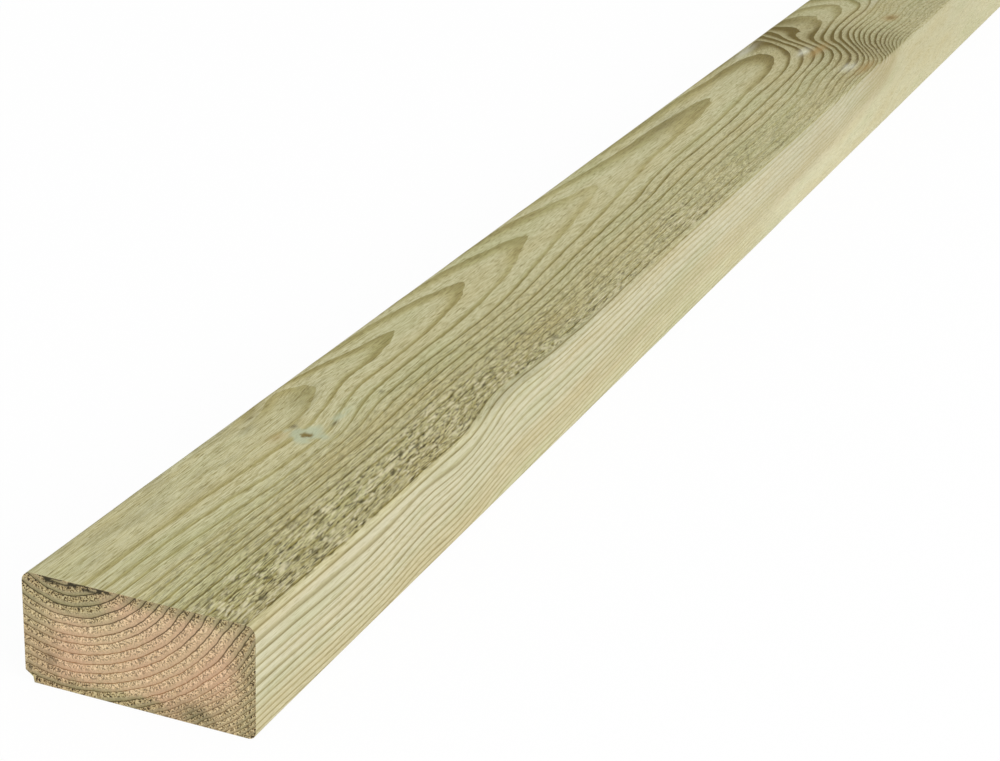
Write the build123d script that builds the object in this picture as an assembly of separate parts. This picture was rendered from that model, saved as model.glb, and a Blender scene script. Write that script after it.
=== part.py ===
from build123d import *
import os

# One length of planed softwood, pressure treated and cross-cut square to a stock length.
# It is a single piece: a rectangular section with its long arrises eased by the planer, and
# one lower corner splintered off at the first end, where the cross-cut saw broke out.
# X runs along the grain, Y across the wide face, and Z up through the thickness.
# The origin is the middle of the underside, so the piece lies flat on Z = 0.

# Driving dimensions, in millimetres
LENGTH = 2400.0
WIDTH = 95.0
THICKNESS = 45.0
TOP_ARRIS_RADIUS = 4.0
BOTTOM_ARRIS_RADIUS = 3.0

# The splintered corner: its stepped outline on the end grain, and how far it runs with the grain
CHIP_RISE = 4.7
CHIP_REACH = 3.7
CHIP_STEP_RISE = 2.4
CHIP_STEP_REACH = 3.2
CHIP_RUN = 60.0

# How far a cutter stands out of the wood, so that it leaves no skin on a face
CUT_MARGIN = 1.0

FIRST_END = -LENGTH / 2
BACK_EDGE = WIDTH / 2


def planed_stock():
    """The planed length: a rectangle with eased arrises, drawn on the first end and extruded."""
    section = Rectangle(WIDTH, THICKNESS, align=(Align.CENTER, Align.MIN))
    section = fillet(section.vertices().group_by(Axis.Y)[-1], TOP_ARRIS_RADIUS)
    section = fillet(section.vertices().group_by(Axis.Y)[0], BOTTOM_ARRIS_RADIUS)
    return extrude(Plane.YZ.offset(FIRST_END) * section, LENGTH)


def splintered_corner():
    """The wood that left the lower back corner: stepped at the end, and run out to nothing."""
    outline = Polyline(
        (BACK_EDGE + CUT_MARGIN, -CUT_MARGIN),
        (BACK_EDGE + CUT_MARGIN, CHIP_RISE),
        (BACK_EDGE, CHIP_RISE),
        (BACK_EDGE - CHIP_STEP_REACH, CHIP_STEP_RISE),
        (BACK_EDGE - CHIP_REACH, 0),
        (BACK_EDGE - CHIP_REACH, -CUT_MARGIN),
        close=True,
    )
    at_the_end = Plane.YZ.offset(FIRST_END - CUT_MARGIN) * make_face(outline)
    run_out = Vertex(FIRST_END + CHIP_RUN, BACK_EDGE, 0)
    return loft([at_the_end.face(), run_out], ruled=True)


batten = planed_stock() - splintered_corner()
batten.label = "batten"

os.makedirs("parts", exist_ok=True)
export_step(batten, "parts/batten.step")
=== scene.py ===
import math
import bmesh
import bpy
import numpy
from mathutils import Matrix, Vector


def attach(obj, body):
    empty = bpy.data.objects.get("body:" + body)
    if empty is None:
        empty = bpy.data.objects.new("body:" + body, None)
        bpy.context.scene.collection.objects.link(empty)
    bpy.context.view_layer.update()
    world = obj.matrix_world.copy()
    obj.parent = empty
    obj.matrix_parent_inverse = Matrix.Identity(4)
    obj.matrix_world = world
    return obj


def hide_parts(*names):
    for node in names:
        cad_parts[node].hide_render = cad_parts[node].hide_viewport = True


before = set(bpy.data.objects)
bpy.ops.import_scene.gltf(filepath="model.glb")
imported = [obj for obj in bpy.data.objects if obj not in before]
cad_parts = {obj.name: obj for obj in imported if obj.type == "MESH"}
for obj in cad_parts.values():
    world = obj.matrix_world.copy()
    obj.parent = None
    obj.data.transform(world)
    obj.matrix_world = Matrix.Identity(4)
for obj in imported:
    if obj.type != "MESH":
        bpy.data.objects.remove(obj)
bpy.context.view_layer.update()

bpy.ops.object.select_all(action="DESELECT")

# The batten
# One length of slow-grown softwood, planed on four faces with its long edges eased, pressure
# treated, and cross-cut with a saw. The pith lies above the wide face, to the left of its middle,
# and wanders along the length, which draws the nested tongues of grain on the top.
LENGTH = 2.400
WIDTH = 0.095
THICKNESS = 0.045
TOP_EASING = 0.004
BOTTOM_EASING = 0.003
FIRST_END = -LENGTH / 2
BACK_EDGE = WIDTH / 2

# How near a face or edge of the block counts as on it.
SKIN = 0.0001
# The knots and the coarsest torn grain are in the first 1.26 m, so that stretch is meshed every
# 5 mm and the plainer rest every 20 mm.
PLAIN_FROM = 0.060
# Where the top is worked closer still: along the grain and across from the back edge, in
# millimetres, with the number of cuts in each coarse face.
CLOSE_WORK = (
    (0, 300, 51, 92, 6),
    (0, 300, 4, 51, 3),
    (135, 175, 20, 46, 1),
    (300, 560, 49, 92, 2),
    (780, 1030, 4, 92, 2),
)


def pick(part, kind, wanted):
    """Selects the edges or faces of a mesh in edit mode that pass a test."""
    mesh = bmesh.from_edit_mesh(part.data)
    bpy.ops.mesh.select_all(action="DESELECT")
    bpy.context.tool_settings.mesh_select_mode = (False, kind == "edges", kind == "faces")
    for item in getattr(mesh, kind):
        if wanted(item):
            item.select_set(True)
    mesh.select_flush_mode()
    bmesh.update_edit_mesh(part.data)


def middle(edge):
    """The middle of an edge."""
    return (edge.verts[0].co + edge.verts[1].co) / 2


def runs_along(edge, axis):
    """Whether an edge runs along an axis: 0 with the grain, 1 across, 2 up."""
    step = edge.verts[1].co - edge.verts[0].co
    return abs(step[axis]) > 0.99 * step.length


def long_corner(edge):
    """Whether an edge runs the length of the block at its front or back."""
    return runs_along(edge, 0) and abs(middle(edge).y) > BACK_EDGE - SKIN


bpy.ops.mesh.primitive_cube_add(size=1, location=(0, 0, THICKNESS / 2),
                                scale=(LENGTH, WIDTH, THICKNESS))
batten = bpy.context.object
batten.name = "treated_batten"
bpy.ops.object.transform_apply(location=True, rotation=False, scale=True)
bpy.ops.object.mode_set(mode="EDIT")
pick(batten, "edges", lambda e: runs_along(e, 1))
bpy.ops.mesh.subdivide(number_cuts=18)
pick(batten, "edges", lambda e: runs_along(e, 2))
bpy.ops.mesh.subdivide(number_cuts=8)

# The planer eases the two top edges a little more than the two lower ones.
pick(batten, "edges", lambda e: long_corner(e) and middle(e).z > THICKNESS - SKIN)
bpy.ops.mesh.bevel(offset=TOP_EASING, segments=5, profile=0.5, affect="EDGES", clamp_overlap=False)
pick(batten, "edges", lambda e: long_corner(e) and middle(e).z < SKIN)
bpy.ops.mesh.bevel(offset=BOTTOM_EASING, segments=4, profile=0.5, affect="EDGES",
                   clamp_overlap=False)

bpy.ops.mesh.select_all(action="SELECT")
bpy.ops.mesh.bisect(plane_co=(PLAIN_FROM, 0, 0), plane_no=(1, 0, 0))
pick(batten, "edges", lambda e: runs_along(e, 0) and middle(e).x < PLAIN_FROM)
bpy.ops.mesh.subdivide(number_cuts=251)
pick(batten, "edges", lambda e: runs_along(e, 0) and middle(e).x > PLAIN_FROM)
bpy.ops.mesh.subdivide(number_cuts=56)
# The front face is worked closer up its height, and the top across its width.
pick(batten, "edges", lambda e: (runs_along(e, 2) and middle(e).y < SKIN - BACK_EDGE
                                 and FIRST_END < middle(e).x < PLAIN_FROM + SKIN))
bpy.ops.mesh.subdivide(number_cuts=3)
pick(batten, "edges", lambda e: (runs_along(e, 1) and middle(e).z > THICKNESS - SKIN
                                 and FIRST_END + 0.300 < middle(e).x < PLAIN_FROM + SKIN))
bpy.ops.mesh.subdivide(number_cuts=2)
for start, stop, left, right, cuts in CLOSE_WORK:
    low = Vector((FIRST_END + start / 1000, BACK_EDGE - right / 1000, THICKNESS - SKIN))
    high = Vector((FIRST_END + stop / 1000, BACK_EDGE - left / 1000, THICKNESS + SKIN))
    pick(batten, "faces",
         lambda f: all(low[i] <= f.calc_center_median()[i] <= high[i] for i in range(3)))
    bpy.ops.mesh.subdivide(number_cuts=cuts, quadcorner="INNERVERT")

# The two ends: the rim's many-sided faces are closed to triangles, and the first end is worked
# closest, for its saw marks.
pick(batten, "faces", lambda f: abs(f.normal.x) > 0.9 and len(f.verts) > 4)
bpy.ops.mesh.poke()
pick(batten, "faces", lambda f: f.normal.x < -0.9)
bpy.ops.mesh.subdivide(number_cuts=6, quadcorner="INNERVERT")
pick(batten, "faces", lambda f: f.normal.x > 0.9)
bpy.ops.mesh.subdivide(number_cuts=2, quadcorner="INNERVERT")
bpy.ops.object.mode_set(mode="OBJECT")

# The splintered corner: a stepped notch at the first end that runs out along the lower back edge.
# Its sizes are in millimetres, and its outline stands a little outside the wood.
CHIP_RISE = 4.7
CHIP_REACH = 3.7
CHIP_STEP_RISE = 2.4
CHIP_STEP_REACH = 3.2
CHIP_RUN = 60.0
OUTSIDE = 1.0
notch = [
    (OUTSIDE, -OUTSIDE),
    (OUTSIDE, CHIP_RISE),
    (0, CHIP_RISE),
    (-CHIP_STEP_REACH, CHIP_STEP_RISE),
    (-CHIP_REACH, 0),
    (-CHIP_REACH, -OUTSIDE),
]
notch = [(FIRST_END - OUTSIDE / 1000, BACK_EDGE + y / 1000, z / 1000) for y, z in notch]
run_out = (FIRST_END + CHIP_RUN / 1000, BACK_EDGE, 0)
outline = tuple(range(len(notch)))
sides = [(i, (i + 1) % len(notch), len(notch)) for i in outline]
wedge = bpy.data.meshes.new("splinter")
wedge.from_pydata([*notch, run_out], [], [outline, *sides])
splinter = bpy.data.objects.new("splinter", wedge)
bpy.context.collection.objects.link(splinter)
bpy.ops.object.select_all(action="DESELECT")
bpy.context.view_layer.objects.active = splinter
splinter.select_set(True)
bpy.ops.object.mode_set(mode="EDIT")
bpy.ops.mesh.select_all(action="SELECT")
bpy.ops.mesh.normals_make_consistent(inside=False)
bpy.ops.object.mode_set(mode="OBJECT")
bpy.context.view_layer.objects.active = batten
bpy.ops.object.modifier_add(type="BOOLEAN")
cut = batten.modifiers[-1]
cut.operation = "DIFFERENCE"
cut.solver = "EXACT"
cut.object = splinter
bpy.ops.object.modifier_apply(modifier=cut.name)
bpy.data.objects.remove(splinter)
bpy.ops.object.mode_set(mode="EDIT")
pick(batten, "faces", lambda f: len(f.verts) > 4)
bpy.ops.mesh.quads_convert_to_tris(quad_method="BEAUTY", ngon_method="BEAUTY")
bpy.ops.object.mode_set(mode="OBJECT")

# Annual rings, as counted across a sawn end: the radius of each from the pith, in millimetres, and
# how dark its hard late wood is, from 0 to 1. Rings further out keep one spacing.
RING_RADII = (13.5, 17.6, 21.7, 26.1, 31.2, 36.3, 40.3, 45.2, 48.8, 53.7, 58.2, 62.5, 67.1, 71.0,
              75.7, 79.5, 83.2, 85.4, 87.8, 90.0, 92.9, 95.6, 97.9, 100.3, 102.3, 104.4, 106.5,
              108.6)
RING_DARKNESS = (0.5, 0.68, 1.0, 0.95, 0.95, 1.0, 1.0, 1.0, 1.0, 1.0, 0.95, 0.9, 0.8, 0.8, 1.0, 1.0,
                 0.9, 1.0, 0.85, 0.8, 0.9, 1.0, 0.85, 0.9, 0.8, 0.9, 0.8, 0.8)
OUTER_RING = 2.1
# The rings aren't quite round: they are a little square, flattened up and down, and blunt at the
# tip of each tongue.
RING_SQUARENESS = 1.8
RING_FLATNESS = 1.19
TONGUE_ROUNDING = 3.5
# How far the pith lies above the top, and how far in from the back edge, along the length.
PITH_RISE = ((0, 19.0), (40, 18.4), (80, 17.4), (130, 15.6), (165, 14.8), (190, 16.1), (208, 17.6),
             (240, 19.6), (287, 21.7), (352, 26.1), (428, 31.2), (527, 36.3), (725, 40.3),
             (845, 45.2), (873, 48.8), (888, 53.7), (901, 58.2), (922, 62.5), (961, 67.1),
             (1001, 71.0), (1028, 75.7), (1100, 80), (1300, 83), (1500, 78), (1750, 66),
             (1950, 64), (2150, 70), (2400, 76))
PITH_PLACE = ((0, 18), (287, 18), (352, 19), (428, 19), (527, 21), (725, 22), (845, 20), (884, 17),
              (925, 17), (961, 18), (1001, 22), (1100, 27), (1400, 36), (1800, 44), (2400, 40))
# How far the lines by the front edge swing in and out along the length: on the top, high on the
# front face, and low on it.
SWING_ON_TOP = ((0, -1.4), (90, -2.4), (145, -1.5), (185, -1.9), (230, 3.4), (290, 1.7), (520, 0))
SWING_HIGH = ((0, -0.3), (95, -1.0), (145, 0.9), (185, -0.2), (232, 3.7), (290, 3.5), (520, 0))
SWING_LOW = ((0, -0.8), (100, -0.6), (147, 3.4), (182, 2.8), (232, 4.6), (290, 4.4), (520, 0.8))


def smooth_run(stations, where):
    """A smooth line through given pairs of place and value, level past the first and last."""
    x = numpy.array([place for place, value in stations], float)
    y = numpy.array([value for place, value in stations], float)
    slope = numpy.gradient(y, x)
    where = numpy.clip(where, x[0], x[-1])
    i = numpy.clip(numpy.searchsorted(x, where) - 1, 0, len(x) - 2)
    step = x[i + 1] - x[i]
    t = (where - x[i]) / step
    rise = t * t * (3 - 2 * t)
    return (y[i] + (y[i + 1] - y[i]) * rise + step * slope[i] * t * (1 - t) ** 2
            - step * slope[i + 1] * t * t * (1 - t))


def fade(value, start, stop):
    """0 before start and 1 after stop, with a soft change between them."""
    t = numpy.clip((value - start) / (stop - start), 0, 1)
    return t * t * (3 - 2 * t)


def hump(value, centre, reach):
    """1 at the centre, and softly down to nothing at about twice the reach from it."""
    return numpy.exp(-((value - centre) / reach) ** 2)


def patches(u, v, seed):
    """Soft random patches from 0 to 1, one to each unit of u and v."""
    rows = 97
    columns = 89
    cells = numpy.random.RandomState(seed).rand(rows, columns)
    i = numpy.floor(u).astype(int)
    j = numpy.floor(v).astype(int)
    s = u - i
    t = v - j
    s = s * s * (3 - 2 * s)
    t = t * t * (3 - 2 * t)
    near = cells[i % rows, j % columns]
    beside = cells[(i + 1) % rows, j % columns]
    over = cells[i % rows, (j + 1) % columns]
    opposite = cells[(i + 1) % rows, (j + 1) % columns]
    first = near * (1 - s) + beside * s
    second = over * (1 - s) + opposite * s
    return first * (1 - t) + second * t


# Every point of the batten, in millimetres: along from the first end, across from the back edge,
# and up from the underside.
mesh = batten.data
points = numpy.empty(len(mesh.vertices) * 3)
mesh.vertices.foreach_get("co", points)
points = points.reshape(-1, 3)
normals = numpy.empty(len(mesh.vertices) * 3)
mesh.vertex_normals.foreach_get("vector", normals)
normals = normals.reshape(-1, 3)
along = (points[:, 0] - FIRST_END) * 1000
across = (BACK_EDGE - points[:, 1]) * 1000
up = points[:, 2] * 1000
from_top = THICKNESS * 1000 - up
front_half = across > WIDTH * 1000 / 2
on_top = fade(up, 44.2, 44.9) * (normals[:, 2] > 0.5)
on_front = front_half * (1 - on_top)
on_end = numpy.abs(normals[:, 0]) > 0.9
on_first_end = on_end * (points[:, 0] < 0)

# The rings bend round the knots: they are drawn in past the green knot, and pushed out by the
# whorl of knots from 0.8 to 1.0 m along, which crowds them together.
sideways = across - smooth_run(PITH_PLACE, along)
below = smooth_run(PITH_RISE, along) + RING_FLATNESS * from_top
swell = -2.7 * fade(along, 235, 330) * (1 - fade(along, 500, 590)) * hump(sideways, 34, 18)
swell += 8.0 * hump(along, 925, 45) * fade(sideways, 10, 38)
swell += 5.5 * hump(along, 1005, 45) * fade(sideways, 12, 34)
swell += 4.0 * hump(along, 805, 40) * fade(sideways, 26, 40)
swell -= 3.0 * hump(along, 183, 15) * fade(-sideways, 3, 13)
# Beside the green knot they bulge towards the front edge, and there they swing in and out.
push = fade(along, 10, 120) * (1 - fade(along, 155, 200)) * fade(up, 20, 45)
bulge = numpy.interp(across, (20, 31, 42, 47.6, 51.5, 55, 59, 65), (0, 0.3, 5.2, 4.6, 3.2, 1.7, 0.6, 0))
swing_low = smooth_run(SWING_LOW, along)
swing = swing_low + (smooth_run(SWING_HIGH, along) - swing_low) * fade(up, 24, 38)
swing += (smooth_run(SWING_ON_TOP, along) - swing) * fade(up, 39, 45)
sideways += 1.05 * swing * fade(across, 74, 88) - push * bulge
sideways += 4.0 * hump(along, 208, 28) * hump(sideways, 0, 22)
# Under the whorl the tongues lean and run out over the back edge.
sideways += 17 * hump(along, 890, 23) * (1 - fade(across, 20, 56))
radius = numpy.hypot(sideways, TONGUE_ROUNDING) ** RING_SQUARENESS + below ** RING_SQUARENESS
radius = radius ** (1 / RING_SQUARENESS) + swell
ring = numpy.interp(radius, RING_RADII, numpy.arange(len(RING_RADII)))
ring += numpy.maximum(radius - RING_RADII[-1], 0) / OUTER_RING
ring_part = ring - numpy.floor(ring)


def store(name, *values):
    """Keeps three numbers for each vertex, for the materials to read."""
    kept = mesh.attributes.new(name, "FLOAT_VECTOR", "POINT")
    kept.data.foreach_set("vector", numpy.stack(values, 1).ravel())


store("from_pith", sideways, below, swell)

# The planer tore the grain where it rises to the surface along the front of the top face: short
# pits and lifted fibres, thickest by the front edge and thinning out along the length. The tear
# stops at one ring near the edge, and further on at the easing.
PIT_LENGTH = 3.0
LIFTED_LENGTH = 3.6
PIT_WIDTH = 0.55
last_torn_ring = 13.95 + 0.7 * fade(along, 225, 260)
in_from_edge = 1 - fade(ring, last_torn_ring - 0.15, last_torn_ring + 0.15)
in_from_edge += (1 - fade(across, 88, 92) - in_from_edge) * fade(along, 290, 340)
in_from_edge *= on_top
torn = (0.5 * fade(across, 40, 52) + 0.5 * fade(across, 58, 76)) * in_from_edge
torn *= 1 - 0.35 * fade(along, 260, 420) - 0.35 * fade(along, 620, 800)
torn *= 0.7 + 0.5 * patches(along / 26, across / 7, 5)
torn = numpy.clip(torn, 0, 1)
coarse = fade(across, 60, 76) * (1 - 0.8 * fade(along, 235, 310))
coarse += 0.9 * hump(along, 500, 26) * fade(across, 66, 76)
coarse += 0.5 * fade(across, 77, 85) * fade(along, 235, 300) * (1 - fade(along, 430, 480))
coarse *= (0.6 + 0.5 * patches(along / 30, across / 9, 6)) * in_from_edge
coarse = numpy.clip(coarse, 0, 1)
grain_across = sideways + 0.35 * swell
by_the_line = fade(ring_part, 0.6, 0.95) + 1 - fade(ring_part, 0.0, 0.15)
pits = patches(along / PIT_LENGTH, grain_across / PIT_WIDTH, 11) + 0.12 * by_the_line
pits = fade(pits, 0.74, 0.86)
pits *= fade(patches(along / 9, grain_across / 3, 13), 0.25, 0.6)
lifted = fade(patches(along / LIFTED_LENGTH, grain_across / PIT_WIDTH, 17), 0.62, 0.82)
lifted *= 1 - pits
pits *= coarse
lifted *= coarse
# Besides the relief, the pits are painted dark as shade and the lifted fibres pale as highlights.
store("torn_grain", torn, pits, lifted)

# Treatment soaks in from every face, so the end is olive round its border and pink at its heart,
# with a ragged line between them. It went deepest at the top back corner and the lower front one.
ragged = 3.0 * patches(across / 4, up / 4, 31) + 2.0 * patches(across / 1.6, up / 1.6, 32) - 2.5
soaked = (
    0.70 * (1 - fade(across + ragged, 4, 20)),
    (1 - fade(across + 1.4 * ragged, 28, 44)) * fade(up + ragged, 27, 37),
    0.9 * fade(up + 0.6 * ragged, 38, 44),
    (1 - fade(up + ragged, 2.5, 8)) * (0.5 + 0.5 * (1 - fade(across, 50, 66))),
    0.95 * fade(across + ragged, 82, 92),
    hump(across, 71, 10) * hump(up, 3, 6),
    0.55 * fade(across, 60, 84) * (1 - fade(up + ragged, 8, 20)),
)
treated = numpy.maximum.reduce(soaked)
# The front face is creamier than the top, and the cream comes up over the front edge as far as
# the torn grain. Past 0.4 m it stays on the face.
cream = 1 - fade(up, 34, 41) - (1 - 0.85 * fade(across, 80, 86) * (1 - fade(along, 330, 450))) * on_top
cream += (1 - on_top) * fade(along, 330, 450)
cream = numpy.where(front_half, cream, 0.5 * (1 - on_top) - 0.5)
# Round the whorl the lines are broader and a deeper olive.
whorl = (hump(along, 893, 52) + 0.3 * fade(along, 700, 800)) * on_top
store("tints", cream, whorl, treated)

# Knots: a brown pin in a diamond of green, with a green streak past it, and a second pin further on.
KNOT_ALONG = 153.5
KNOT_ACROSS = 35.5
from_knot = numpy.hypot(along - KNOT_ALONG, across - KNOT_ACROSS)
pin = 1 - fade(from_knot + 1.2 * patches(along / 1.2, across / 1.2, 41), 2.7, 3.7)
pin += 0.6 * (1 - fade(numpy.hypot((along - 984) / 1.8, across - 67.5), 1.5, 3.5))
diamond = numpy.abs(along - KNOT_ALONG - 0.5) / 12 + numpy.abs(across - KNOT_ACROSS) / 10.5
green = 0.8 * (1 - fade(diamond + 0.5 * patches(along / 3, across / 2, 42), 0.8, 1.35))
streak = 0.8 * hump(along, 177, 12) * hump(across, 39, 2.0)
green += streak * fade(patches(along / 5, across / 1.2, 43), 0.2, 0.6)
# Three small pale knots in the whorl.
pale = 0.55 * hump(along, 838, 22) * hump(across, 6, 3.4)
pale += 1.05 * hump(along, 858, 12) * hump(across, 40, 2.8)
pale += 0.9 * hump(along, 837, 10) * hump(across, 77, 3.2)
pale *= 0.55 + 0.45 * fade(patches(along / 7, across / 1.8, 46), 0.2, 0.6)
pale = numpy.minimum(pale, 1) * on_top
# Tan stains: beside two of the pale knots, round the second pin, behind the green knot, and a
# faint one on the front face under the whorl.
stain = 0.8 * hump(along, 866, 20) * hump(across, 47.5, 3.4)
stain += 0.7 * hump(along, 842, 20) * hump(across, 87, 4)
stain += 0.9 * hump(along, 984, 9) * hump(across, 67.5, 4.5)
stain += 0.4 * hump(along, 146, 6) * hump(across, 26, 3)
stain *= on_top
stain += 0.3 * hump(along, 855, 45) * hump(up, 42, 12) * on_front
# Dark marks on the top: curls of grain round the green knot, a speck past it, a shadow inside the
# tongue at 0.65 m, soft blotches along the back edge, and a dulled front edge.
smudge = 0.7 * hump(along, 158.5, 2) * hump(across, 27, 1.6)
smudge += 0.6 * hump(along, 169.5, 3) * hump(across, 40.5, 0.8)
smudge += 0.35 * hump(along, 146, 6) * hump(across, 12, 1.6)
smudge += 0.3 * hump(along, 158, 5) * hump(across, 7, 1.5)
smudge += 0.8 * hump(along, 209, 1.2) * hump(across, 43, 0.9)
shadow = 0.26 * hump(along, 655, 42) * hump(across, 16, 5)
smudge += shadow * (0.5 + patches(along / 15, across / 4, 47))
blotches = fade(patches(along / 17, across / 5, 45), 0.45, 0.85)
smudge += 0.16 * blotches * (1 - fade(across, 22, 30)) * (1 - fade(along, 190, 225))
smudge += 0.06 * fade(across, 81, 86) * (1 - fade(along, 150, 280)) + 0.035 * fade(along, 975, 1030)
smudge *= on_top
# Low on the front face the outermost rings are sapwood, nearly without lines.
sapwood = fade(radius, 103, 108) * fade(along, 540, 680) * (1 - fade(along, 1300, 1500)) * on_front
smudge += on_front * (1 - sapwood) * (0.03 * fade(along, 200, 400) + 0.07 * fade(along, 540, 680))
smudge += sapwood * fade(along, 740, 900) * (0.05 + 0.05 * fade(up, 12, 35))
pale += 0.10 * sapwood * (1 - fade(along, 740, 900))
# Dark marks on the first end: pits along its top edge, bruises at the back and near the foot, and
# the darker top back corner.
bruises = fade(patches(across / 1.7, up / 1.1, 44), 0.42, 0.56) * fade(up, 42.0, 43.4)
bruises *= fade(across, 5, 9) * (1 - 0.85 * fade(across, 34, 40))
bruises += 0.9 * hump(across, 1.8, 0.9) * hump(up, 6, 1.2)
bruises += 0.45 * hump(across, 11, 2.2) * hump(up, 11.5, 2.5)
bruises += 0.35 * hump(across, 71, 7) * hump(up, 4.5, 3.5)
bruises += 0.06 * (1 - fade(across, 28, 44)) * fade(up, 27, 37)
smudge += on_first_end * bruises
# How faint the lines of the rings are: by the back edge up to the green knot, round the tongue at
# 0.5 m, and here and there further on. On the front face they grow fainter along the length.
faint = 0.9 * (1 - fade(along, 135, 180)) * (1 - fade(across, 20, 27))
faint += 0.25 * (1 - fade(along, 160, 215)) * fade(across, 20, 27) * (1 - fade(across, 54, 62))
faint += 0.55 * hump(along, 510, 45) * hump(sideways, 0, 14) + 0.10 * fade(along, 960, 1040)
faint += 0.25 * hump(along, 955, 26) * (1 - fade(across, 28, 40))
faint += 0.5 * fade(along, 930, 1000) * fade(across, 44, 56)
faint += 0.5 * hump(along, 905, 65) * fade(across, 74, 88)
faint += 0.4 * hump(across, 33, 8) * fade(along, 300, 380) * (1 - fade(along, 760, 820))
faint += 0.45 * fade(across, 66, 74) * fade(along, 520, 620) * (1 - fade(along, 760, 830))
faint_side = 0.05 + 0.15 * fade(along, 165, 240) + 0.30 * fade(along, 380, 650) + 0.45 * sapwood
faint = faint_side + (numpy.minimum(faint, 0.95) - faint_side) * on_top
# On the first end the lines nearest the pith have turned dark brown.
aged = 0.85 * on_first_end * fade(up, 20, 36)
store("knot_marks", pin * on_top + aged, green * on_top, stain)
store("pale_and_dark", pale, smudge, faint)

# Relief in millimetres, always inwards: soft wood between the rings stands a little low, torn
# fibres leave short pits, the knot's pin has shrunk, and the saw leaves the soft rings rough.
SOFT_WOOD_LOW = 0.10
TORN_LOW = 0.15
PIT_DEPTH = 0.50
LIFTED_RISE = 0.15
PIN_DEPTH = 0.35
SAW_MARKS = 0.10
SOFT_RING_DEPTH = 0.35
depth = SOFT_WOOD_LOW * (1 - fade(ring_part, 0.55, 0.95) * (1 - fade(ring_part, 0.95, 1.0)))
depth += TORN_LOW * torn + PIT_DEPTH * pits - LIFTED_RISE * lifted
depth += PIN_DEPTH * hump(from_knot, 0, 1.6) * on_top
planed = numpy.abs(normals[:, 0]) < 0.5
depth = numpy.maximum(depth, 0) * planed
soft_ring = fade(ring_part, 0.02, 0.10) * (1 - fade(ring_part, 0.50, 0.66))
rough = patches(across / 1.1, up / 1.1, 21)
fine = patches(across / 0.8, up / 0.8, 22)
end_depth = (SAW_MARKS + SOFT_RING_DEPTH * soft_ring) * fade(rough, 0.3, 0.9) + SAW_MARKS * fine
from_edge = numpy.minimum(numpy.minimum(across, WIDTH * 1000 - across), numpy.minimum(up, from_top))
end_depth *= 0.25 + 0.75 * fade(from_edge, 0.2, 1.2)
points[:, 0] -= numpy.where(on_end, numpy.sign(points[:, 0]) * end_depth / 1000, 0)
points[:, 1:] -= normals[:, 1:] * depth[:, None] / 1000

mesh.vertices.foreach_set("co", points.ravel())
mesh.update()
bpy.ops.object.shade_smooth_by_angle(angle=math.radians(50))


def linear(colour):
    """A colour written as sRGB hex, as the linear values that a shader takes."""
    parts = [int(colour[i:i + 2], 16) / 255 for i in (0, 2, 4)]
    return (*[p / 12.92 if p < 0.04045 else ((p + 0.055) / 1.055) ** 2.4 for p in parts], 1)


def add(material, kind, inputs={}, **settings):
    """Adds a node with its settings, and sets or links its inputs.

    A colour Mix node takes the amount at 0 and its two colours at 6 and 7, and gives its result
    at output 2.
    """
    node = material.node_tree.nodes.new(kind)
    for name, value in settings.items():
        setattr(node, name, value)
    for name, value in inputs.items():
        if isinstance(value, bpy.types.Node):
            value = value.outputs[0]
        if isinstance(value, bpy.types.NodeSocket):
            material.node_tree.links.new(value, node.inputs[name])
        else:
            node.inputs[name].default_value = value
    return node


def set_stops(ramp, stops):
    """Gives a colour ramp its places and colours, or greys."""
    elements = ramp.color_ramp.elements
    while len(elements) < len(stops):
        elements.new(0.5)
    for element, (place, colour) in zip(elements, stops):
        element.position = place
        element.color = linear(colour) if isinstance(colour, str) else (colour, colour, colour, 1)
    return ramp


def grain_place(material):
    """Adds the nodes that place a point in the tree: millimetres along it, and out from the pith."""
    place = add(material, "ShaderNodeTexCoord").outputs["Object"]
    along = add(material, "ShaderNodeSeparateXYZ", {0: place})
    along = add(material, "ShaderNodeMath", {0: along.outputs[0], 1: 1000.0}, operation="MULTIPLY")
    pith = add(material, "ShaderNodeAttribute", attribute_name="from_pith")
    pith = add(material, "ShaderNodeSeparateXYZ", {0: pith.outputs["Vector"]})
    grain = add(material, "ShaderNodeCombineXYZ", {0: along, 1: pith.outputs[0], 2: pith.outputs[1]})
    return place, grain, pith


# The radius at which the curve that counts the rings ends, in millimetres.
WIDEST = 200.0


def count_rings(material, pith, waver):
    """Adds the nodes that give the ring a point is in, the part of that ring, and its radius."""
    aside = add(material, "ShaderNodeMath",
                {0: pith.outputs[0], 1: pith.outputs[0], 2: TONGUE_ROUNDING ** 2},
                operation="MULTIPLY_ADD")
    aside = add(material, "ShaderNodeMath", {0: aside, 1: RING_SQUARENESS / 2}, operation="POWER")
    under = add(material, "ShaderNodeMath", {0: pith.outputs[1], 1: RING_SQUARENESS},
                operation="POWER")
    both = add(material, "ShaderNodeMath", {0: aside, 1: under})
    radius = add(material, "ShaderNodeMath", {0: both, 1: 1 / RING_SQUARENESS}, operation="POWER")
    radius = add(material, "ShaderNodeMath", {0: radius, 1: pith.outputs[2]})
    radius = add(material, "ShaderNodeMath", {0: radius, 1: waver})
    share = add(material, "ShaderNodeMath", {0: radius, 1: WIDEST}, operation="DIVIDE")
    curve = add(material, "ShaderNodeFloatCurve", {"Value": share})
    line = curve.mapping.curves[0]
    outermost = len(RING_RADII) + (WIDEST - RING_RADII[-1]) / OUTER_RING
    line.points[0].location = (0, 0)
    line.points[1].location = (1, 1)
    for number, size in enumerate(RING_RADII):
        line.points.new(size / WIDEST, (number + 1) / outermost)
    for point in line.points:
        point.handle_type = "VECTOR"
    curve.mapping.update()
    ring = add(material, "ShaderNodeMath", {0: curve, 1: outermost}, operation="MULTIPLY")
    part = add(material, "ShaderNodeMath", {0: ring}, operation="FRACT")
    return ring, part, radius


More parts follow.
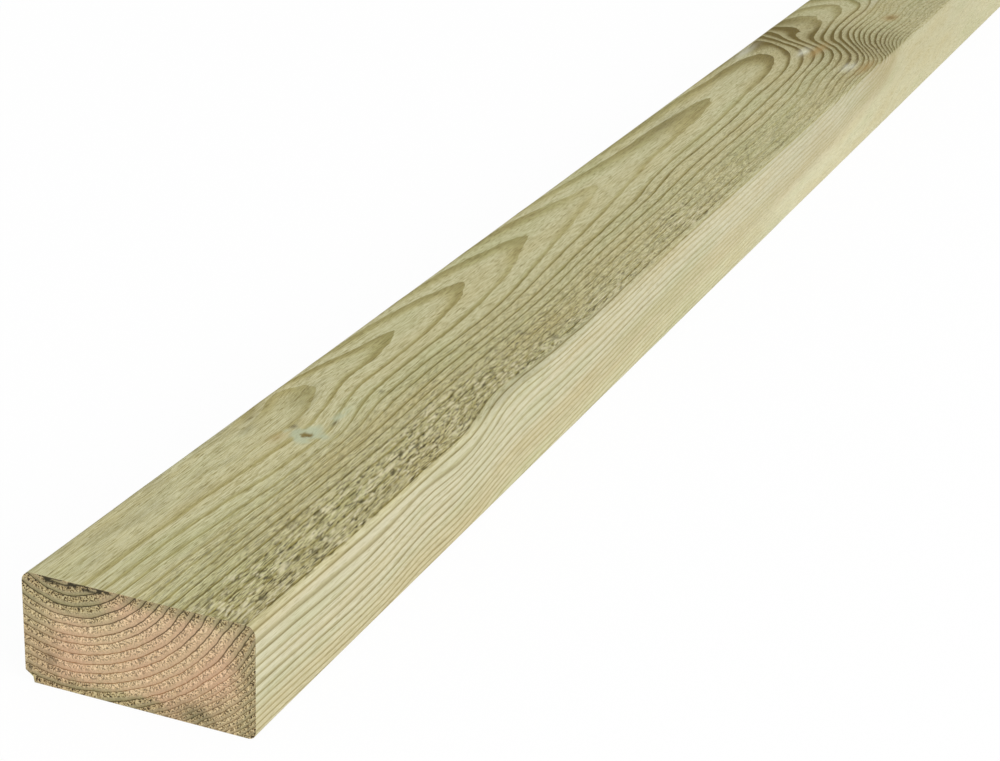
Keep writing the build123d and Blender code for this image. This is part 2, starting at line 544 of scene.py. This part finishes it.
# Planed, pressure-treated softwood. The knives leave a satin face; the treatment turns the pale
# wood between the rings green-grey and the hard dark lines of the rings olive brown.
planed_wood = bpy.data.materials.new("planed_treated_softwood")
planed_wood.use_nodes = True
planed_wood.node_tree.nodes.clear()
place, grain, pith = grain_place(planed_wood)
tints = add(planed_wood, "ShaderNodeAttribute", attribute_name="tints")
tints = add(planed_wood, "ShaderNodeSeparateXYZ", {0: tints.outputs["Vector"]})
cream = tints.outputs[0]
whorl = tints.outputs[1]

# Fibres waver the edges of the rings and streak the colour. Real ones are 3 mm by 0.03 mm, too
# fine to show, so they are drawn as bundles 16 mm long and 0.45 mm across.
fibre = add(planed_wood, "ShaderNodeMapping", {"Vector": grain, "Scale": (0.06, 2.2, 2.2)})
fibre = add(planed_wood, "ShaderNodeTexNoise",
            {"Vector": fibre, "Scale": 1.0, "Detail": 3.0, "Roughness": 0.6})
# The rings themselves wander by up to a millimetre, every 80 mm along and 9 mm across.
sway = add(planed_wood, "ShaderNodeMapping", {"Vector": grain, "Scale": (0.012, 0.11, 0.11)})
sway = add(planed_wood, "ShaderNodeTexNoise", {"Vector": sway, "Scale": 1.0, "Detail": 2.0})
waver = add(planed_wood, "ShaderNodeMath", {0: sway, 1: 2.0, 2: -1.0}, operation="MULTIPLY_ADD")
waver = add(planed_wood, "ShaderNodeMath", {0: fibre, 1: 0.2, 2: waver}, operation="MULTIPLY_ADD")
waver = add(planed_wood, "ShaderNodeMath", {0: waver, 1: 0.10}, operation="SUBTRACT")
ring, part, radius = count_rings(planed_wood, pith, waver)

# Late wood darkens towards the outer edge of a ring and stops there short. The band is broadest
# on the back of a tongue and in the whorl, and thinnest towards the front edge.
squeeze = add(planed_wood, "ShaderNodeMapRange",
              {"Value": pith.outputs[0], "From Min": -14.0, "From Max": 24.0,
               "To Min": 0.72, "To Max": 1.9})
broad = add(planed_wood, "ShaderNodeMath", {0: whorl, 1: -0.42, 2: 1.0}, operation="MULTIPLY_ADD")
squeeze = add(planed_wood, "ShaderNodeMath", {0: squeeze, 1: broad}, operation="MULTIPLY")
late = add(planed_wood, "ShaderNodeMath", {0: 1.0, 1: part}, operation="SUBTRACT")
late = add(planed_wood, "ShaderNodeMath", {0: late, 1: squeeze}, operation="MULTIPLY")
late = add(planed_wood, "ShaderNodeMath", {0: 1.0, 1: late}, operation="SUBTRACT")
late = set_stops(add(planed_wood, "ShaderNodeValToRGB", {"Fac": late}),
                 ((0.0, 0.0), (0.32, 0.0), (0.52, 0.15), (0.68, 0.55), (0.84, 0.95), (1.0, 1.0)))
share = add(planed_wood, "ShaderNodeMath", {0: ring, 1: float(len(RING_DARKNESS))},
            operation="DIVIDE")
strength = add(planed_wood, "ShaderNodeValToRGB", {"Fac": share})
strength.color_ramp.interpolation = "CONSTANT"
set_stops(strength, [(i / len(RING_DARKNESS), d) for i, d in enumerate(RING_DARKNESS)])
late = add(planed_wood, "ShaderNodeMath", {0: late, 1: strength}, operation="MULTIPLY")
paler = add(planed_wood, "ShaderNodeAttribute", attribute_name="pale_and_dark")
paler = add(planed_wood, "ShaderNodeSeparateXYZ", {0: paler.outputs["Vector"]})
clear = add(planed_wood, "ShaderNodeMath", {0: 1.0, 1: paler.outputs[2]}, operation="SUBTRACT")
late = add(planed_wood, "ShaderNodeMath", {0: late, 1: clear}, operation="MULTIPLY")
# The sides cut the rings more squarely, so their lines are thinner and even.
late_side = set_stops(add(planed_wood, "ShaderNodeValToRGB", {"Fac": part}),
                      ((0.0, 0.9), (0.07, 0.12), (0.25, 0.0), (0.62, 0.06), (0.80, 0.7),
                       (0.92, 1.0), (1.0, 1.0)))
late_side = add(planed_wood, "ShaderNodeMath", {0: late_side, 1: strength}, operation="MULTIPLY")
late_side = add(planed_wood, "ShaderNodeMath", {0: late_side, 1: clear}, operation="MULTIPLY")
# On the top they are a little weaker inside a tongue.
tongue = add(planed_wood, "ShaderNodeMapRange",
             {"Value": pith.outputs[0], "From Min": 4.0, "From Max": 22.0,
              "To Min": 0.84, "To Max": 1.0})
late = add(planed_wood, "ShaderNodeMath", {0: late, 1: tongue}, operation="MULTIPLY")
top_tone = set_stops(add(planed_wood, "ShaderNodeValToRGB", {"Fac": late}),
                     ((0.0, "D3CFA6"), (0.45, "BFB883"), (0.85, "A39A60"), (1.0, "877C3A")))
side_tone = set_stops(add(planed_wood, "ShaderNodeValToRGB", {"Fac": late_side}),
                      ((0.0, "D0CBAD"), (0.5, "BDB58E"), (1.0, "8F8559")))
# The outermost rings on the front face turn a little warmer, and then greener.
outer = add(planed_wood, "ShaderNodeMapRange",
            {"Value": radius, "From Min": 96.0, "From Max": 116.0})
outer = add(planed_wood, "ShaderNodeValToRGB", {"Fac": outer})
set_stops(outer, ((0.0, "FFFFFF"), (0.25, "FAF6EC"), (0.55, "FAF6EC"), (0.75, "FFFFF6")))
side_tone = add(planed_wood, "ShaderNodeMix", {0: 1.0, 6: side_tone, 7: outer},
                data_type="RGBA", blend_type="MULTIPLY").outputs[2]
over_arris = add(planed_wood, "ShaderNodeMapRange",
                 {"Value": ring, "From Min": 14.8, "From Max": 16.0})
over_arris = add(planed_wood, "ShaderNodeMath", {0: over_arris, 1: cream}, use_clamp=True)
tone = add(planed_wood, "ShaderNodeMix", {0: over_arris, 6: top_tone, 7: side_tone},
           data_type="RGBA").outputs[2]
deep = add(planed_wood, "ShaderNodeMath", {0: late, 1: 1.0, 2: 0.24}, operation="MULTIPLY_ADD")
deep = add(planed_wood, "ShaderNodeMath", {0: whorl, 1: deep}, operation="MULTIPLY", use_clamp=True)
tone = add(planed_wood, "ShaderNodeMix", {0: deep, 6: tone, 7: linear("706000")},
           data_type="RGBA").outputs[2]

# The treatment lies unevenly: broad greener and tanner patches, a hand's width long.
drift = add(planed_wood, "ShaderNodeMapping", {"Vector": grain, "Scale": (0.010, 0.06, 0.06)})
drift = add(planed_wood, "ShaderNodeTexNoise", {"Vector": drift, "Scale": 1.0, "Detail": 3.0})
drift = set_stops(add(planed_wood, "ShaderNodeValToRGB", {"Fac": drift}),
                  ((0.32, "F6F9F3"), (0.5, "FFFFFF"), (0.68, "FBF7EE")))
tone = add(planed_wood, "ShaderNodeMix", {0: 1.0, 6: tone, 7: drift},
           data_type="RGBA", blend_type="MULTIPLY").outputs[2]
fibre_tone = set_stops(add(planed_wood, "ShaderNodeValToRGB", {"Fac": fibre}),
                       ((0.30, "CFC9B2"), (0.45, "EFECE2"), (0.60, "FFFFFF")))
quiet = add(planed_wood, "ShaderNodeMath", {0: over_arris, 1: -0.55, 2: 1.0},
            operation="MULTIPLY_ADD")
tone = add(planed_wood, "ShaderNodeMix", {0: quiet, 6: tone, 7: fibre_tone},
           data_type="RGBA", blend_type="MULTIPLY").outputs[2]
# Longer streaks between the rings, about 30 mm long and 0.8 mm across.
streaks = add(planed_wood, "ShaderNodeMapping", {"Vector": grain, "Scale": (0.035, 1.3, 1.3)})
streaks = add(planed_wood, "ShaderNodeTexNoise",
              {"Vector": streaks, "Scale": 1.0, "Detail": 3.0, "Roughness": 0.7})
streaks = set_stops(add(planed_wood, "ShaderNodeValToRGB", {"Fac": streaks}),
                    ((0.36, "DEDAC6"), (0.48, "FFFFFF")))
tone = add(planed_wood, "ShaderNodeMix", {0: quiet, 6: tone, 7: streaks},
           data_type="RGBA", blend_type="MULTIPLY").outputs[2]
# Short dark ticks where the fibres run out at the planed face, 6 mm long and 0.45 mm across,
# which is coarser than the real ones, so that they show.
ticks = add(planed_wood, "ShaderNodeMapping", {"Vector": place, "Scale": (160, 2200, 2200)})
ticks = add(planed_wood, "ShaderNodeTexNoise", {"Vector": ticks, "Scale": 1.0, "Detail": 1.0})
ticks = set_stops(add(planed_wood, "ShaderNodeValToRGB", {"Fac": ticks}),
                  ((0.60, "FFFFFF"), (0.72, "C2BB9A")))
tone = add(planed_wood, "ShaderNodeMix", {0: quiet, 6: tone, 7: ticks},
           data_type="RGBA", blend_type="MULTIPLY").outputs[2]

# Torn grain: shreds 4.5 mm long and 0.45 mm across, whose dark spots are painted shade, with
# the pits of the mesh painted dark as shade and its lifted fibres painted pale as highlights.
torn = add(planed_wood, "ShaderNodeAttribute", attribute_name="torn_grain")
torn = add(planed_wood, "ShaderNodeSeparateXYZ", {0: torn.outputs["Vector"]})
shreds = add(planed_wood, "ShaderNodeMapping", {"Vector": grain, "Scale": (0.22, 2.2, 2.2)})
shreds = add(planed_wood, "ShaderNodeTexNoise",
             {"Vector": shreds, "Scale": 1.0, "Detail": 4.0, "Roughness": 0.65})
shreds = set_stops(add(planed_wood, "ShaderNodeValToRGB", {"Fac": shreds}),
                   ((0.39, "3A310B"), (0.44, "A89C74"), (0.48, "EDE6CE"), (0.53, "FFFDF2")))
# How strongly the shreds' painted shade darkens the torn zone.
shred_shade = add(planed_wood, "ShaderNodeMath", {0: torn.outputs[0], 1: 0.85}, operation="MULTIPLY")
tone = add(planed_wood, "ShaderNodeMix", {0: shred_shade, 6: tone, 7: shreds},
           data_type="RGBA", blend_type="MULTIPLY").outputs[2]
# Painted shade darkens the pits.
tone = add(planed_wood, "ShaderNodeMix", {0: torn.outputs[1], 6: tone, 7: linear("3C3310")},
           data_type="RGBA").outputs[2]
# Painted highlights lighten the lifted fibres.
tone = add(planed_wood, "ShaderNodeMix", {0: torn.outputs[2], 6: tone, 7: linear("DCD4AE")},
           data_type="RGBA").outputs[2]

# Knots: stained wood beside them, blue-green patches, pale faces and brown pins, and last the
# dark marks.
marks = add(planed_wood, "ShaderNodeAttribute", attribute_name="knot_marks")
marks = add(planed_wood, "ShaderNodeSeparateXYZ", {0: marks.outputs["Vector"]})
for amount, colour in (
    (marks.outputs[2], "A48648"),
    (marks.outputs[1], "B8C0A0"),
    (paler.outputs[0], "E2E2CC"),
    (marks.outputs[0], "7C6C34"),
    (paler.outputs[1], "4F4724"),
):
    tone = add(planed_wood, "ShaderNodeMix", {0: amount, 6: tone, 7: linear(colour)},
               data_type="RGBA").outputs[2]

# Dry wood is satin at most: its pores scatter the gloss, so the specular level is below the usual.
fuzz = add(planed_wood, "ShaderNodeMath", {0: fibre, 1: shreds}, operation="MULTIPLY")
bump = add(planed_wood, "ShaderNodeBump", {"Height": fuzz, "Strength": 0.6, "Distance": 0.0003})
shader = add(planed_wood, "ShaderNodeBsdfPrincipled",
             {"Base Color": tone, "Roughness": 0.62, "IOR": 1.45, "Specular IOR Level": 0.35,
              "Normal": bump})
add(planed_wood, "ShaderNodeOutputMaterial", {"Surface": shader})

# Sawn end grain. The saw tears the soft part of each ring into pale and dark flecks and leaves the
# hard part smooth; the heart stays pink, because the treatment only soaks in from the faces.
end_grain = bpy.data.materials.new("sawn_end_grain_softwood")
end_grain.use_nodes = True
end_grain.node_tree.nodes.clear()
place, _, pith = grain_place(end_grain)
# The rings wander by up to a millimetre, about every 8 mm.
sway = add(end_grain, "ShaderNodeTexNoise",
           {"Vector": place, "Scale": 130.0, "Detail": 4.0, "Roughness": 0.6})
waver = add(end_grain, "ShaderNodeMath", {0: sway, 1: 1.8, 2: -0.9}, operation="MULTIPLY_ADD")
_, part, _ = count_rings(end_grain, pith, waver)
treated = add(end_grain, "ShaderNodeAttribute", attribute_name="tints")
treated = add(end_grain, "ShaderNodeSeparateXYZ", {0: treated.outputs["Vector"]}).outputs[2]
heart = set_stops(add(end_grain, "ShaderNodeValToRGB", {"Fac": part}),
                  ((0.0, "A07C50"), (0.04, "E6D2B2"), (0.48, "E6D2B2"), (0.64, "D2BA9A"),
                   (0.91, "C9B092"), (0.95, "9C784A"), (1.0, "7E5A30")))
border = set_stops(add(end_grain, "ShaderNodeValToRGB", {"Fac": part}),
                   ((0.0, "4E4420"), (0.04, "C8BF98"), (0.48, "C8BF98"), (0.64, "B0A988"),
                    (0.91, "969068"), (0.95, "584E28"), (1.0, "383010")))
tone = add(end_grain, "ShaderNodeMix", {0: treated, 6: heart, 7: border},
           data_type="RGBA").outputs[2]
# Patches of warmer and rosier wood, about 20 mm across.
warm = add(end_grain, "ShaderNodeTexNoise", {"Vector": place, "Scale": 45.0, "Detail": 2.0})
warm = set_stops(add(end_grain, "ShaderNodeValToRGB", {"Fac": warm}),
                 ((0.38, "FFFAEE"), (0.62, "FFF0E8")))
tone = add(end_grain, "ShaderNodeMix", {0: 1.0, 6: tone, 7: warm},
           data_type="RGBA", blend_type="MULTIPLY").outputs[2]
# Flecks 0.7 mm across, about twice as coarse as the real ones, so that they show.
speckled = set_stops(add(end_grain, "ShaderNodeValToRGB", {"Fac": part}),
                     ((0.0, 0.5), (0.05, 1.0), (0.48, 1.0), (0.70, 0.22), (1.0, 0.22)))
flecks = add(end_grain, "ShaderNodeTexNoise",
             {"Vector": place, "Scale": 1500.0, "Detail": 4.0, "Roughness": 0.65})
fleck_tone = set_stops(add(end_grain, "ShaderNodeValToRGB", {"Fac": flecks}),
                       ((0.42, "261B04"), (0.46, "8C7A52"), (0.495, "E6DAC4"), (0.545, "FFFFFF")))
harsh = add(end_grain, "ShaderNodeMath", {0: treated, 1: 0.28, 2: 0.72}, operation="MULTIPLY_ADD")
speckled = add(end_grain, "ShaderNodeMath", {0: speckled, 1: harsh}, operation="MULTIPLY")
tone = add(end_grain, "ShaderNodeMix", {0: speckled, 6: tone, 7: fleck_tone},
           data_type="RGBA", blend_type="MULTIPLY").outputs[2]
# The lines that have turned dark brown, and the bruises.
aged = add(end_grain, "ShaderNodeAttribute", attribute_name="knot_marks")
aged = add(end_grain, "ShaderNodeSeparateXYZ", {0: aged.outputs["Vector"]})
line = set_stops(add(end_grain, "ShaderNodeValToRGB", {"Fac": part}),
                 ((0.0, 0.9), (0.03, 0.0), (0.89, 0.0), (0.95, 1.0)))
line = add(end_grain, "ShaderNodeMath", {0: line, 1: aged}, operation="MULTIPLY")
tone = add(end_grain, "ShaderNodeMix", {0: line, 6: tone, 7: linear("40351A")},
           data_type="RGBA").outputs[2]
smudge = add(end_grain, "ShaderNodeAttribute", attribute_name="pale_and_dark")
smudge = add(end_grain, "ShaderNodeSeparateXYZ", {0: smudge.outputs["Vector"]}).outputs[1]
tone = add(end_grain, "ShaderNodeMix", {0: smudge, 6: tone, 7: linear("332C12")},
           data_type="RGBA").outputs[2]
bump = add(end_grain, "ShaderNodeBump", {"Height": flecks, "Strength": 0.5, "Distance": 0.0004})
shader = add(end_grain, "ShaderNodeBsdfPrincipled",
             {"Base Color": tone, "Roughness": 0.75, "IOR": 1.45, "Normal": bump})
add(end_grain, "ShaderNodeOutputMaterial", {"Surface": shader})

# The sawn faces lie no deeper than this behind the ends.
SAWN_DEPTH = 0.0012
mesh.materials.append(planed_wood)
mesh.materials.append(end_grain)
for face in mesh.polygons:
    sawn = abs(face.center.x) > LENGTH / 2 - SAWN_DEPTH and abs(face.normal.x) > 0.6
    face.material_index = 1 if sawn else 0
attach(batten, "root")
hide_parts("batten")

# The studio
# A plain white floor in a soft room light, with one large lamp to the front and left. The lamp is
# square and 4 m wide, so the shadows are soft.
bpy.ops.mesh.primitive_plane_add(size=30, location=(0, 0, -0.0002))
floor = bpy.context.object
floor.name = "studio_floor"
# Matt white paint, seen directly as nearly pure white, so that only a soft shadow shows on it.
floor_paint = bpy.data.materials.new("matt_white_floor")
floor_paint.use_nodes = True
floor_paint.node_tree.nodes.clear()
rays = add(floor_paint, "ShaderNodeLightPath")
seen = add(floor_paint, "ShaderNodeMath",
           {0: rays.outputs["Is Camera Ray"], 1: rays.outputs["Is Glossy Ray"]},
           operation="MAXIMUM")
seen = add(floor_paint, "ShaderNodeMath", {0: seen, 1: rays.outputs["Is Transmission Ray"]},
           operation="MAXIMUM")
seen = add(floor_paint, "ShaderNodeMath", {0: seen, 1: 0.95}, operation="MULTIPLY")
matt = add(floor_paint, "ShaderNodeBsdfDiffuse", {"Color": linear("FAFAFA")})
white = add(floor_paint, "ShaderNodeEmission", {"Color": (1, 1, 1, 1), "Strength": 1.0})
both = add(floor_paint, "ShaderNodeMixShader", {0: seen, 1: matt, 2: white})
add(floor_paint, "ShaderNodeOutputMaterial", {"Surface": both})
floor.data.materials.append(floor_paint)

# The room lights the wood at 0.70 and is pure white where the camera sees it directly.
world = bpy.data.worlds.new("studio_room")
bpy.context.scene.world = world
world.use_nodes = True
rays = add(world, "ShaderNodeLightPath")
level = add(world, "ShaderNodeMath", {0: rays, 1: 0.30, 2: 0.70}, operation="MULTIPLY_ADD")
room = world.node_tree.nodes["Background"]
world.node_tree.links.new(level.outputs[0], room.inputs["Strength"])
room.inputs["Color"].default_value = (1, 1, 1, 1)

bpy.ops.object.light_add(type="AREA", location=(-3.4, -5.4, 3.4))
lamp = bpy.context.object
lamp.data.shape = "SQUARE"
lamp.data.size = 4.0
lamp.data.energy = 285
aim = Vector((-0.6, 0, 0)) - lamp.location
lamp.rotation_euler = aim.to_track_quat("-Z", "Y").to_euler()

# The camera
# A long lens, low and to the left of the first end, looking along the batten. The directions are
# the camera's own right, down and forward.
PLACE = (-1.83903, -0.39464, 0.44122)
RIGHT = Vector((0.39032785, -0.91996759, 0.03610814))
DOWN = Vector((-0.34061967, -0.18073366, -0.92266656))
FORWARD = Vector((0.85534929, 0.34784331, -0.38390444))
view = bpy.data.cameras.new("camera")
view.sensor_fit = "HORIZONTAL"
view.sensor_width = 36
view.lens = 85.63
view.clip_start = 0.01
camera = bpy.data.objects.new("camera", view)
bpy.context.collection.objects.link(camera)
turn = Matrix((RIGHT, -DOWN, -FORWARD)).transposed().to_4x4()
camera.matrix_world = Matrix.Translation(PLACE) @ turn
bpy.context.scene.camera = camera
bpy.context.scene.view_settings.view_transform = "Standard"
